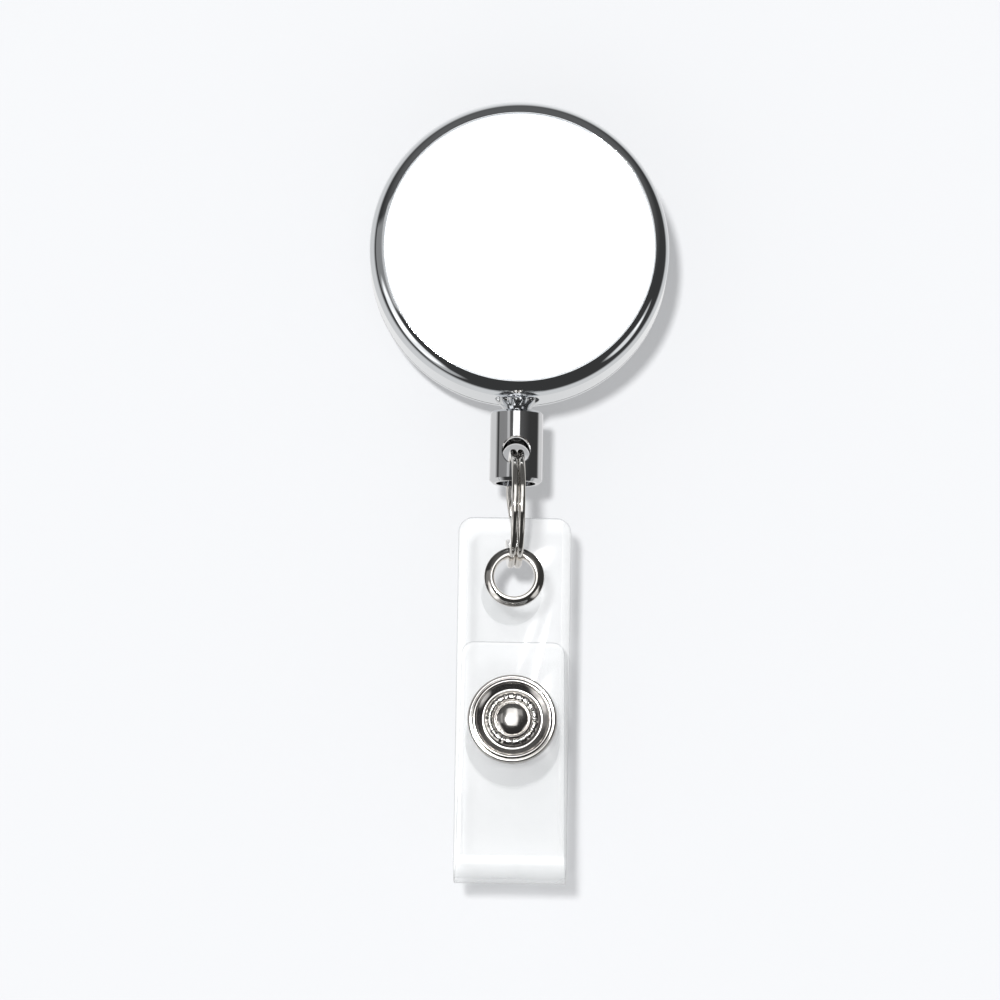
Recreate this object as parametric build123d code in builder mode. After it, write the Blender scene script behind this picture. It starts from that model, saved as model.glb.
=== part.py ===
"""Retractable badge reel: a round cord reel with a belt clip, a swivel barrel,
a split ring and a folded vinyl strap.

Frame, in millimetres: the origin is on the case's axis at the back cover's outer face.
+Z is up, +X is to the right, and the label faces -Y. The reel is drawn hanging as it is
worn, with its cord wound in and its strap snapped shut.
"""

from build123d import *
import os
from math import acos, asin, cos, radians, sin, sqrt

os.makedirs("parts", exist_ok=True)

# Case: a front shell and a back cover that plugs into it.
case_r = 16.0
case_depth = 9.0
wall = 0.9
seam_y = -1.3  # joint between the front shell and the back cover
seam_bevel = 0.12
lip_r = 14.5  # outer edge of the front lip, where the rounded shoulder starts
shoulder_round = 2.0
recess_r = 14.45
recess_depth = 0.55
cover_edge_r = 0.5
spigot_r, spigot_wall, spigot_length = 15.05, 0.7, 1.2
boss_r, boss_height = 3.2, 0.3

# Label: a printed disc on a film of adhesive, in the recess of the front shell.
disc_r = 14.38
disc_t = 0.36
adhesive_r, adhesive_t = 14.1, 0.12

# Mechanism: a fixed arbor, a spool that turns on it, and a flat spiral spring between them.
arbor_r = 1.9
arbor_tail_r = 1.45
arbor_slot = 0.5
bearing_gap = 0.05
rivet_head_r, rivet_head_h = 2.4, 0.5
washer_r = 3.4
washer_gap = 0.08
flange_r, flange_t = 13.9, 0.7
drum_r, groove_w = 10.6, 3.8
spring_room_r = 9.0
spring_cover_t = 0.5
spring_cover_recess = 0.1
spring_t, spring_w = 0.16, 3.4
packed_turns, packed_pitch = 6, 0.24
open_turns = 4
inner_tab_reach = 1.6  # the inner tab's length, in distances from the axis to the spring's first turn
outer_tab_length, outer_tab_slot = 1.2, 1.4
slot_room = 2.5  # width of the drum's slot, in spring thicknesses

# Cord: wound on the spool, led to the outlet, and ended by a stop bead inside the barrel.
cord_r = 0.4
cord_y = -4.5  # the cord's plane, half-way through the case
winding_r, winding_w = 12.9, 3.5
knot_r, knot_at_r, knot_angle = 0.55, 9.95, 200
cord_gap = 0.05
cord_turn_z = -14.2  # height at which the cord turns down into the outlet
cord_split_z = -16.2  # where the part of the cord that leaves the case begins
stop_r, stop_z = 1.0, -19.3

# Outlet bush: a flared collar on the underside of the case.
bush_bore_r = 0.65
bush_shank_r, bush_hole_r = 1.35, 1.4
bush_flare_r, bush_neck_r = 2.45, 1.35
bush_top_z, bush_rim_z, bush_end_z = -14.7, -16.3, -17.1
bush_flare_round = 1.2

# Swivel barrel: a cup, open at the bottom, with a cross-hole for the split ring.
barrel_r, barrel_bore_r = 2.825, 2.1
barrel_top_z, barrel_end_z = -17.2, -24.9
barrel_cap_t = 1.0
barrel_top_hole_r = 0.6
barrel_top_chamfer, barrel_end_chamfer = 0.25, 0.35
cross_hole_r, cross_hole_z = 1.45, -21.7
cross_hole_chamfer = 0.12

# Split ring: two flat coils side by side, joined by a ramp at the back.
ring_out_r, ring_in_r = 6.35, 5.35
ring_coil_w, ring_coil_gap = 0.70, 0.04
ring_corner_r = 0.2
ring_drop = 5.9  # from the cross-hole's axis down to the ring's centre
ring_twist = 3.0  # degrees about the vertical, front of the ring to the right
ramp_half_angle = 30
ramp_sections = 6

# Strap: one strip of clear vinyl, folded up at the bottom and snapped shut.
strap_w, strap_t = 12.0, 0.55
strap_top_z = -28.6
strap_corner_r = 1.6
flap_foot_w, flap_top_w = 11.6, 10.9
flap_top_z = -42.3
flap_corner_r = 1.3
fold_in_r = 1.15
fold_bottom_z = -67.85

# Eyelet: a rolled grommet with a washer behind, set in the top of the strap.
eyelet_z = -34.95
eyelet_throat_r, eyelet_tube_r, eyelet_rim_r = 2.15, 2.45, 3.18
eyelet_rim_h = 0.5
eyelet_washer_t = 0.3
eyelet_curl_r, eyelet_curl_h = 2.95, 0.28
washer_fit = 0.02

# Ring snap: cap and socket on the flap, stud and post on the long side of the strap.
snap_z = -50.55
snap_r = 4.75
cap_h = 1.05
cap_rim_r, cap_rim_base = 0.4, 0.35
cap_dish_r, cap_dish_h = 3.85, 0.25
cap_crimp_r, cap_crimp_w = 2.7, 0.6
cap_dome_r = 2.2
shank_r, shank_gap = 1.45, 0.05
socket_r, socket_h = 4.3, 1.75
socket_mouth_r, socket_room_r = 2.3, 2.4
socket_lip_t, socket_floor_t = 0.4, 0.35
stud_base_r, stud_base_t = 4.3, 0.45
stud_neck_r, stud_head_r, stud_h = 1.85, 2.1, 1.3
post_r, post_h = 3.6, 0.45

# Belt clip: a strip of spring steel, riveted to the back cover and folded over at the top.
clip_w, clip_t = 12.0, 0.6
clip_bend_r = 1.2
clip_bend_z = 9.8
clip_base_bottom_z = -8.6
clip_tip_z = -14.2
clip_pinch_z, clip_pinch_y = -11.2, 0.75
clip_tip_y = 3.3
clip_corner_r = 2.0
clip_arm_root = 2.0  # straight part of the arm below the bend
clip_arm_round = 2.5
clip_rivet_z, clip_rivet_r, clip_rivet_hole_r = 6.4, 0.75, 0.8
clip_rivet_head_r, clip_rivet_head_h = 1.5, 0.4
clip_rivet_tail_r, clip_rivet_tail_h = 1.25, 0.3

# Places worked out from the driving dimensions.
front_y = -case_depth
lip_reach = lip_r - case_r + shoulder_round  # from the shoulder's centre out to the lip
shoulder_y = front_y + sqrt(shoulder_round**2 - lip_reach**2)
recess_y = front_y + recess_depth
panel_y = recess_y + wall  # inner face of the front panel
cavity_r = case_r - wall
groove_front_y = cord_y - groove_w / 2
groove_rear_y = cord_y + groove_w / 2
spool_front_y = groove_front_y - flange_t
spool_rear_y = groove_rear_y + flange_t
cover_rear_y = spool_rear_y - spring_cover_recess
boss_y = seam_y - boss_height
arbor_front_y = panel_y + bearing_gap
strap_rear_y = cord_y + strap_t / 2
strap_front_y = cord_y - strap_t / 2
flap_rear_y = strap_front_y - 2 * fold_in_r
flap_front_y = flap_rear_y - strap_t
fold_y = strap_front_y - fold_in_r
fold_out_r = fold_in_r + strap_t
fold_z = fold_bottom_z + fold_out_r
ring_z = cross_hole_z - ring_drop
ring_r = (ring_out_r + ring_in_r) / 2
coil_offset = (ring_coil_w + ring_coil_gap) / 2
clip_axis_y = clip_t + clip_bend_r
cord_line = Axis((0, cord_y, 0), (0, 0, 1))


def facing_front(y):
    """Plane parallel to the label at depth y: its normal points forwards and its local y is up."""
    return Plane.XZ.offset(-y)


def axis_at(z):
    """Axis that runs front to back at height z."""
    return Axis((0, 0, z), (0, 1, 0))


def outer_wall():
    """Draws the outside of the case, from the front lip round the shoulder to the seam."""
    half_way = (asin(lip_reach / shoulder_round) + radians(90)) / 2
    mid = (
        case_r - shoulder_round + shoulder_round * sin(half_way),
        shoulder_y - shoulder_round * cos(half_way),
    )
    shoulder = ThreePointArc((lip_r, front_y), mid, (case_r, shoulder_y))
    Line(shoulder @ 1, (case_r, seam_y - seam_bevel))


def dome(edge_r, edge_y, top_y):
    """Draws the section of a spherical cap, from its edge to its top on the axis."""
    height = abs(top_y - edge_y)
    ball_r = (edge_r**2 + height**2) / (2 * height)
    half_angle = asin(edge_r / ball_r) / 2
    drop = ball_r * (1 - cos(half_angle))
    mid = (ball_r * sin(half_angle), top_y - drop * (top_y - edge_y) / height)
    ThreePointArc((edge_r, edge_y), mid, (0, top_y))


# ---------------------------------------------------------------- case

with BuildPart() as front_shell:
    with BuildSketch(Plane.XY):
        with BuildLine():
            outer_wall()
            Polyline(
                (case_r, seam_y - seam_bevel),
                (case_r - seam_bevel, seam_y),
                (cavity_r, seam_y),
                (cavity_r, panel_y),
                (0, panel_y),
                (0, recess_y),
                (recess_r, recess_y),
                (recess_r, front_y),
                (lip_r, front_y),
            )
        make_face()
    revolve(axis=Axis.Y)
    with BuildSketch(Plane.XY.offset(-case_r)):
        with Locations((0, cord_y)):
            Circle(bush_hole_r)
    extrude(amount=2 * wall, mode=Mode.SUBTRACT)
front_shell.part.label = "front_shell"
export_step(front_shell.part, "parts/front_shell.step")

with BuildPart() as insert_adhesive:
    with BuildSketch(facing_front(recess_y)):
        Circle(adhesive_r)
    extrude(amount=adhesive_t)
insert_adhesive.part.label = "insert_adhesive"
export_step(insert_adhesive.part, "parts/insert_adhesive.step")

with BuildPart() as insert_disc:
    with BuildSketch(facing_front(recess_y - adhesive_t)):
        Circle(disc_r)
    extrude(amount=disc_t)
    fillet(insert_disc.faces().sort_by(Axis.Y)[0].edges(), disc_t / 3)
insert_disc.part.label = "insert_disc"
export_step(insert_disc.part, "parts/insert_disc.step")

with BuildPart() as back_cover:
    with BuildSketch(Plane.XY):
        with BuildLine():
            Polyline(
                (0, 0),
                (0, boss_y),
                (boss_r, boss_y),
                (boss_r, seam_y),
                (spigot_r - spigot_wall, seam_y),
                (spigot_r - spigot_wall, seam_y - spigot_length),
                (spigot_r, seam_y - spigot_length),
                (spigot_r, seam_y),
                (case_r - seam_bevel, seam_y),
                (case_r, seam_y + seam_bevel),
                (case_r, 0),
                (0, 0),
            )
        make_face()
    revolve(axis=Axis.Y)
    fillet(back_cover.faces().sort_by(Axis.Y)[-1].edges(), cover_edge_r)
    with BuildSketch(facing_front(0)):
        Circle(arbor_tail_r)
        with Locations((0, clip_rivet_z), (0, -clip_rivet_z)):
            Circle(clip_rivet_hole_r)
    extrude(amount=-boss_y, mode=Mode.SUBTRACT)
back_cover.part.label = "back_cover"
export_step(back_cover.part, "parts/back_cover.step")

with BuildPart() as outlet_bush:
    with BuildSketch(facing_front(cord_y)):
        with BuildLine():
            flare = RadiusArc((bush_flare_r, bush_rim_z), (bush_neck_r, bush_end_z), -bush_flare_round)
            Polyline(flare @ 1, (0, bush_end_z), (0, bush_top_z), (bush_flare_r, bush_top_z), flare @ 0)
        make_face()
    revolve(axis=cord_line)
    with BuildSketch(Plane.XY):
        with BuildLine():
            outer_wall()
            Polyline((case_r, seam_y - seam_bevel), (case_r, 0), (0, 0), (0, front_y), (lip_r, front_y))
        make_face()
    revolve(axis=Axis.Y, mode=Mode.SUBTRACT)
    with BuildSketch(Plane.XY.offset(bush_top_z)):
        with Locations((0, cord_y)):
            Circle(bush_shank_r)
    extrude(amount=bush_rim_z - bush_top_z)
    with BuildSketch(Plane.XY.offset(bush_top_z)):
        with Locations((0, cord_y)):
            Circle(bush_bore_r)
    extrude(amount=bush_end_z - bush_top_z, mode=Mode.SUBTRACT)
    mouths = outlet_bush.edges().filter_by(GeomType.CIRCLE).sort_by(SortBy.RADIUS)[0:2]
    chamfer(mouths, (bush_shank_r - bush_bore_r) / 2)
outlet_bush.part.label = "outlet_bush"
export_step(outlet_bush.part, "parts/outlet_bush.step")

# ---------------------------------------------------------------- mechanism

with BuildPart() as arbor_post:
    with BuildSketch(Plane.XY):
        with BuildLine():
            Polyline(
                (0, clip_t + rivet_head_h),
                (0, arbor_front_y),
                (arbor_r, arbor_front_y),
                (arbor_r, boss_y),
                (arbor_tail_r, boss_y),
                (arbor_tail_r, clip_t),
                (rivet_head_r, clip_t),
            )
            dome(rivet_head_r, clip_t, clip_t + rivet_head_h)
        make_face()
    revolve(axis=Axis.Y)
    with BuildSketch(facing_front(groove_rear_y)):
        Rectangle(2 * arbor_r, arbor_slot)
    extrude(amount=groove_rear_y - arbor_front_y, mode=Mode.SUBTRACT)
arbor_post.part.label = "arbor_post"
export_step(arbor_post.part, "parts/arbor_post.step")

with BuildPart() as front_washer:
    with BuildSketch(facing_front(spool_front_y - bearing_gap)):
        Circle(washer_r)
        Circle(arbor_r + washer_gap, mode=Mode.SUBTRACT)
    extrude(amount=spool_front_y - panel_y - 2 * bearing_gap)
front_washer.part.label = "front_washer"
export_step(front_washer.part, "parts/front_washer.step")

with BuildPart() as rear_washer:
    with BuildSketch(facing_front(boss_y - bearing_gap)):
        Circle(washer_r)
        Circle(arbor_r + washer_gap, mode=Mode.SUBTRACT)
    extrude(amount=boss_y - cover_rear_y - 2 * bearing_gap)
rear_washer.part.label = "rear_washer"
export_step(rear_washer.part, "parts/rear_washer.step")

# The spring's middle line crosses the x axis once each half-turn, at these distances from
# the arbor's centre.
spring_out_r = spring_room_r - spring_t
spring_in_r = arbor_r + 1.5 * spring_t
packed_in_r = spring_out_r - packed_turns * packed_pitch
packed_crossings = [spring_out_r - i * packed_pitch / 2 for i in range(2 * packed_turns)]
open_step = (packed_in_r - spring_in_r) / (2 * open_turns)
open_crossings = [packed_in_r - i * open_step for i in range(2 * open_turns + 1)]
crossings = packed_crossings + open_crossings


def half_turns(shift):
    """Draws the spiral as half-circles, moved outwards by shift, and gives its two ends."""
    xs = [(r + shift) * (-1) ** i for i, r in enumerate(crossings)]
    for i, (x0, x1) in enumerate(zip(xs, xs[1:])):
        ThreePointArc((x0, 0), ((x0 + x1) / 2, (-1) ** i * abs(x0 - x1) / 2), (x1, 0))
    return (xs[0], 0), (xs[-1], 0)


with BuildPart() as power_spring:
    with BuildSketch(facing_front(cord_y + spring_w / 2)):
        with BuildLine():
            outside = half_turns(spring_t / 2)
            inside = half_turns(-spring_t / 2)
            Line(outside[0], inside[0])
            Line(outside[1], inside[1])
        make_face()
        inner_tab = spring_in_r + spring_t / 2
        with Locations((inner_tab, -spring_t / 2)):
            Rectangle(inner_tab * inner_tab_reach, spring_t, align=(Align.MAX, Align.CENTER))
        with Locations((spring_out_r - spring_t / 2, -spring_t / 2)):
            Rectangle(outer_tab_length, spring_t, align=(Align.MIN, Align.CENTER))
    extrude(amount=spring_w)
power_spring.part.label = "power_spring"
export_step(power_spring.part, "parts/power_spring.step")

with BuildPart() as spool_drum:
    with BuildSketch(Plane.XY):
        with BuildLine():
            Polyline(
                (arbor_r + bearing_gap, spool_front_y),
                (flange_r, spool_front_y),
                (flange_r, groove_front_y),
                (drum_r, groove_front_y),
                (drum_r, groove_rear_y),
                (flange_r, groove_rear_y),
                (flange_r, spool_rear_y),
                (spring_room_r, spool_rear_y),
                (spring_room_r, groove_front_y),
                (arbor_r + bearing_gap, groove_front_y),
                (arbor_r + bearing_gap, spool_front_y),
            )
        make_face()
    revolve(axis=Axis.Y)
    with BuildSketch(facing_front(groove_rear_y)):
        with Locations((spring_room_r - spring_t, -spring_t / 2)):
            Rectangle(outer_tab_slot, slot_room * spring_t, align=(Align.MIN, Align.CENTER))
    extrude(amount=groove_w, mode=Mode.SUBTRACT)
    knot_way = Vector(cos(radians(knot_angle)), 0, sin(radians(knot_angle)))
    with BuildSketch(Plane(origin=Vector(0, cord_y, 0) + knot_way * drum_r, z_dir=-knot_way)):
        Circle(knot_r + cord_gap)
    extrude(amount=drum_r - knot_at_r + knot_r, mode=Mode.SUBTRACT)
spool_drum.part.label = "spool_drum"
export_step(spool_drum.part, "parts/spool_drum.step")

with BuildPart() as spring_cover:
    with BuildSketch(facing_front(cover_rear_y)):
        Circle(spring_room_r)
        Circle(arbor_r + bearing_gap, mode=Mode.SUBTRACT)
    extrude(amount=spring_cover_t)
spring_cover.part.label = "spring_cover"
export_step(spring_cover.part, "parts/spring_cover.step")

# ---------------------------------------------------------------- cord

with BuildPart() as cord_winding:
    with BuildSketch(facing_front(cord_y + winding_w / 2)):
        Circle(winding_r)
        Circle(drum_r + cord_gap, mode=Mode.SUBTRACT)
    extrude(amount=winding_w)
cord_winding.part.label = "cord_winding"
export_step(cord_winding.part, "parts/cord_winding.step")

with BuildPart() as cord_anchor_knot:
    with Locations(Vector(0, cord_y, 0) + knot_way * knot_at_r):
        Sphere(knot_r)
cord_anchor_knot.part.label = "cord_anchor_knot"
export_step(cord_anchor_knot.part, "parts/cord_anchor_knot.step")

# The lead leaves the winding along a tangent and turns down into the bush.
lead_r = winding_r + cord_gap + cord_r
lead_angle = acos(lead_r / -cord_turn_z)
lead_start = Vector(lead_r * sin(lead_angle), cord_y, -lead_r * cos(lead_angle))
lead_corner = Vector(0, cord_y, cord_turn_z)
lead_end = Vector(0, cord_y, cord_split_z)
lead_turn = radians((lead_corner - lead_start).get_angle(lead_end - lead_corner))
lead_bend_r = 0.45 * (cord_turn_z - cord_split_z) / sin(lead_turn / 2) * cos(lead_turn / 2)
print("cord lead: bend radius %.2f mm" % lead_bend_r)

with BuildPart() as cord_lead:
    with BuildLine() as lead_path:
        FilletPolyline(lead_start, lead_corner, lead_end, radius=lead_bend_r)
    with BuildSketch(Plane(origin=lead_start, z_dir=lead_corner - lead_start)):
        Circle(cord_r)
    sweep(path=lead_path.wires()[0])
cord_lead.part.label = "cord_lead"
export_step(cord_lead.part, "parts/cord_lead.step")

with BuildPart() as cord_tail:
    with BuildSketch(Plane.XY.offset(cord_split_z)):
        with Locations((0, cord_y)):
            Circle(cord_r)
    extrude(amount=stop_z - cord_split_z)
cord_tail.part.label = "cord_tail"
export_step(cord_tail.part, "parts/cord_tail.step")

with BuildPart() as cord_stop:
    with Locations((0, cord_y, stop_z)):
        Sphere(stop_r)
    with BuildSketch(Plane.XY.offset(stop_z)):
        with Locations((0, cord_y)):
            Circle(cord_r)
    extrude(amount=stop_r, mode=Mode.SUBTRACT)
cord_stop.part.label = "cord_stop"
export_step(cord_stop.part, "parts/cord_stop.step")

# ---------------------------------------------------------------- barrel and ring

with BuildPart() as swivel_barrel:
    with BuildSketch(facing_front(cord_y)):
        with BuildLine():
            Polyline(
                (barrel_top_hole_r, barrel_top_z),
                (barrel_r - barrel_top_chamfer, barrel_top_z),
                (barrel_r, barrel_top_z - barrel_top_chamfer),
                (barrel_r, barrel_end_z + barrel_end_chamfer),
                (barrel_r - barrel_end_chamfer, barrel_end_z),
                (barrel_bore_r, barrel_end_z),
                (barrel_bore_r, barrel_top_z - barrel_cap_t),
                (barrel_top_hole_r, barrel_top_z - barrel_cap_t),
                (barrel_top_hole_r, barrel_top_z),
            )
        make_face()
    revolve(axis=cord_line)
    with BuildSketch(facing_front(cord_y)):
        with Locations((0, cross_hole_z)):
            Circle(cross_hole_r)
    extrude(amount=2 * barrel_r, both=True, mode=Mode.SUBTRACT)
    outside_face = swivel_barrel.faces().filter_by(GeomType.CYLINDER).sort_by(SortBy.AREA)[-1]
    plain_edges = (GeomType.CIRCLE, GeomType.LINE)
    hole_edges = outside_face.edges().filter_by(lambda edge: edge.geom_type not in plain_edges)
    chamfer(hole_edges, cross_hole_chamfer)
swivel_barrel.part.label = "swivel_barrel"
export_step(swivel_barrel.part, "parts/swivel_barrel.step")

ring_centre = Vector(0, cord_y, ring_z)
ring_normal = Vector(cos(radians(ring_twist)), sin(radians(ring_twist)), 0)
ring_back = Vector(-sin(radians(ring_twist)), cos(radians(ring_twist)), 0)
ring_axis = Axis(ring_centre, ring_normal)


def ring_section(angle, offset):
    """Plane and place of the ring's section, at an angle up from the back and an axial offset."""
    outwards = ring_back * cos(radians(angle)) + Vector(0, 0, 1) * sin(radians(angle))
    plane = Plane(origin=ring_centre, x_dir=outwards, z_dir=outwards.cross(ring_normal))
    return plane, (ring_r, offset)


with BuildPart() as split_ring:
    for side in (-1, 1):
        plane, place = ring_section(ramp_half_angle, side * coil_offset)
        with BuildSketch(plane):
            with Locations(place):
                RectangleRounded(ring_out_r - ring_in_r, ring_coil_w, ring_corner_r)
        revolve(axis=ring_axis, revolution_arc=360 - 2 * ramp_half_angle)
    for i in range(ramp_sections):
        t = i / (ramp_sections - 1)
        ease = t * t * (3 - 2 * t)
        plane, place = ring_section(ramp_half_angle * (1 - 2 * t), coil_offset * (2 * ease - 1))
        with BuildSketch(plane):
            with Locations(place):
                RectangleRounded(ring_out_r - ring_in_r, ring_coil_w, ring_corner_r)
    loft()
split_ring.part.label = "split_ring"
export_step(split_ring.part, "parts/split_ring.step")

# ---------------------------------------------------------------- strap

with BuildPart() as strap_back:
    with BuildSketch(facing_front(strap_rear_y)) as strap_outline:
        with Locations((0, fold_z)):
            Rectangle(strap_w, strap_top_z - fold_z, align=(Align.CENTER, Align.MIN))
        fillet(strap_outline.vertices().group_by(Axis.Z)[-1], strap_corner_r)
        with Locations((0, eyelet_z)):
            Circle(eyelet_tube_r + shank_gap, mode=Mode.SUBTRACT)
        with Locations((0, snap_z)):
            Circle(shank_r + shank_gap, mode=Mode.SUBTRACT)
    extrude(amount=strap_t)
strap_back.part.label = "strap_back"
export_step(strap_back.part, "parts/strap_back.step")

with BuildPart() as strap_fold:
    with BuildSketch(Plane.YZ):
        with Locations((fold_y, fold_z)):
            Circle(fold_out_r)
            Circle(fold_in_r, mode=Mode.SUBTRACT)
            Rectangle(2 * fold_out_r, fold_out_r, align=(Align.CENTER, Align.MAX), mode=Mode.INTERSECT)
    extrude(amount=strap_w / 2, both=True)
strap_fold.part.label = "strap_fold"
export_step(strap_fold.part, "parts/strap_fold.step")

with BuildPart() as strap_flap:
    with BuildSketch(facing_front(flap_rear_y)) as flap_outline:
        with BuildLine():
            Polyline(
                (-flap_foot_w / 2, fold_z),
                (flap_foot_w / 2, fold_z),
                (flap_top_w / 2, flap_top_z),
                (-flap_top_w / 2, flap_top_z),
                (-flap_foot_w / 2, fold_z),
            )
        make_face()
        fillet(flap_outline.vertices().group_by(Axis.Z)[-1], flap_corner_r)
        with Locations((0, snap_z)):
            Circle(shank_r + shank_gap, mode=Mode.SUBTRACT)
    extrude(amount=strap_t)
strap_flap.part.label = "strap_flap"
export_step(strap_flap.part, "parts/strap_flap.step")

# ---------------------------------------------------------------- eyelet

with BuildPart() as eyelet:
    with BuildSketch(Plane.XY.offset(eyelet_z)):
        with BuildLine():
            rim_mid = ((eyelet_throat_r + eyelet_rim_r) / 2, strap_front_y - eyelet_rim_h)
            curl_mid = (eyelet_tube_r, strap_rear_y + eyelet_washer_t + eyelet_curl_h)
            rim = ThreePointArc((eyelet_throat_r, strap_front_y), rim_mid, (eyelet_rim_r, strap_front_y))
            Polyline(
                rim @ 1,
                (eyelet_tube_r, strap_front_y),
                (eyelet_tube_r, strap_rear_y + eyelet_washer_t),
                (eyelet_curl_r, strap_rear_y + eyelet_washer_t),
            )
            curl = ThreePointArc(
                (eyelet_curl_r, strap_rear_y + eyelet_washer_t),
                curl_mid,
                (eyelet_throat_r, strap_rear_y),
            )
            Line(curl @ 1, rim @ 0)
        make_face()
    revolve(axis=axis_at(eyelet_z))
eyelet.part.label = "eyelet"
export_step(eyelet.part, "parts/eyelet.step")

with BuildPart() as eyelet_washer:
    with BuildSketch(facing_front(strap_rear_y + eyelet_washer_t)):
        with Locations((0, eyelet_z)):
            Circle(eyelet_rim_r)
            Circle(eyelet_tube_r + washer_fit, mode=Mode.SUBTRACT)
    extrude(amount=eyelet_washer_t)
eyelet_washer.part.label = "eyelet_washer"
export_step(eyelet_washer.part, "parts/eyelet_washer.step")

# ---------------------------------------------------------------- snap fastener

socket_rear_y = flap_rear_y + socket_h
socket_floor_y = flap_rear_y + socket_floor_t
stud_front_y = strap_front_y - stud_base_t
stud_tip_y = stud_front_y - stud_h

with BuildPart() as snap_cap:
    with BuildSketch(Plane.XY.offset(snap_z)):
        with BuildLine():
            Line((snap_r, flap_front_y), (snap_r, flap_front_y - cap_rim_base))
            rim = ThreePointArc(
                (snap_r, flap_front_y - cap_rim_base),
                (snap_r - cap_rim_r, flap_front_y - cap_rim_base - cap_rim_r),
                (snap_r - 2 * cap_rim_r, flap_front_y - cap_rim_base),
            )
            dish = Polyline(
                rim @ 1,
                (cap_dish_r, flap_front_y - cap_dish_h),
                (cap_crimp_r + cap_crimp_w / 2, flap_front_y - cap_dish_h),
            )
            crimp = ThreePointArc(
                dish @ 1,
                (cap_crimp_r, flap_front_y - cap_dish_h - cap_crimp_w / 2),
                (cap_crimp_r - cap_crimp_w / 2, flap_front_y - cap_dish_h),
            )
            Line(crimp @ 1, (cap_dome_r, flap_front_y - cap_dish_h))
            dome(cap_dome_r, flap_front_y - cap_dish_h, flap_front_y - cap_h)
            Polyline(
                (0, flap_front_y - cap_h),
                (0, socket_floor_y),
                (shank_r, socket_floor_y),
                (shank_r, flap_front_y),
                (snap_r, flap_front_y),
            )
        make_face()
    revolve(axis=axis_at(snap_z))
snap_cap.part.label = "snap_cap"
export_step(snap_cap.part, "parts/snap_cap.step")

with BuildPart() as snap_socket:
    with BuildSketch(Plane.XY.offset(snap_z)):
        with BuildLine():
            Polyline(
                (shank_r + shank_gap, flap_rear_y),
                (socket_r, flap_rear_y),
                (socket_r, flap_rear_y + 0.4 * socket_h),
                (0.75 * socket_r, socket_rear_y),
                (socket_mouth_r, socket_rear_y),
                (socket_mouth_r, socket_rear_y - socket_lip_t),
                (socket_room_r, socket_rear_y - socket_lip_t),
                (socket_room_r, socket_floor_y),
                (shank_r + shank_gap, socket_floor_y),
                (shank_r + shank_gap, flap_rear_y),
            )
        make_face()
    revolve(axis=axis_at(snap_z))
snap_socket.part.label = "snap_socket"
export_step(snap_socket.part, "parts/snap_socket.step")

with BuildPart() as snap_stud:
    with BuildSketch(Plane.XY.offset(snap_z)):
        with BuildLine():
            Polyline(
                (0, stud_tip_y),
                (0.7 * stud_head_r, stud_tip_y),
                (stud_head_r, stud_tip_y + 0.25 * stud_h),
                (stud_head_r, stud_tip_y + 0.45 * stud_h),
                (stud_neck_r, stud_tip_y + 0.7 * stud_h),
                (stud_neck_r, stud_front_y),
                (stud_base_r, stud_front_y),
                (stud_base_r, strap_front_y),
                (shank_r + shank_gap, strap_front_y),
                (shank_r + shank_gap, stud_front_y),
                (0, stud_front_y),
                (0, stud_tip_y),
            )
        make_face()
    revolve(axis=axis_at(snap_z))
snap_stud.part.label = "snap_stud"
export_step(snap_stud.part, "parts/snap_stud.step")

with BuildPart() as snap_post:
    with BuildSketch(Plane.XY.offset(snap_z)):
        with BuildLine():
            Polyline(
                (0, strap_rear_y + post_h),
                (0, stud_front_y),
                (shank_r, stud_front_y),
                (shank_r, strap_rear_y),
                (post_r, strap_rear_y),
            )
            dome(post_r, strap_rear_y, strap_rear_y + post_h)
        make_face()
    revolve(axis=axis_at(snap_z))
snap_post.part.label = "snap_post"
export_step(snap_post.part, "parts/snap_post.step")

# ---------------------------------------------------------------- belt clip

with BuildPart() as clip_base:
    with BuildSketch(facing_front(clip_t)) as base_outline:
        with Locations((0, clip_base_bottom_z)):
            Rectangle(clip_w, clip_bend_z - clip_base_bottom_z, align=(Align.CENTER, Align.MIN))
        fillet(base_outline.vertices().group_by(Axis.Z)[0], clip_corner_r)
        Circle(arbor_tail_r, mode=Mode.SUBTRACT)
        with Locations((0, clip_rivet_z), (0, -clip_rivet_z)):
            Circle(clip_rivet_hole_r, mode=Mode.SUBTRACT)
    extrude(amount=clip_t)
clip_base.part.label = "clip_base"
export_step(clip_base.part, "parts/clip_base.step")

with BuildPart() as clip_bend:
    with BuildSketch(Plane.YZ):
        with Locations((clip_axis_y, clip_bend_z)):
            Circle(clip_bend_r + clip_t)
            Circle(clip_bend_r, mode=Mode.SUBTRACT)
            Rectangle(
                2 * (clip_bend_r + clip_t),
                clip_bend_r + clip_t,
                align=(Align.CENTER, Align.MIN),
                mode=Mode.INTERSECT,
            )
    extrude(amount=clip_w / 2, both=True)
clip_bend.part.label = "clip_bend"
export_step(clip_bend.part, "parts/clip_bend.step")

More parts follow.
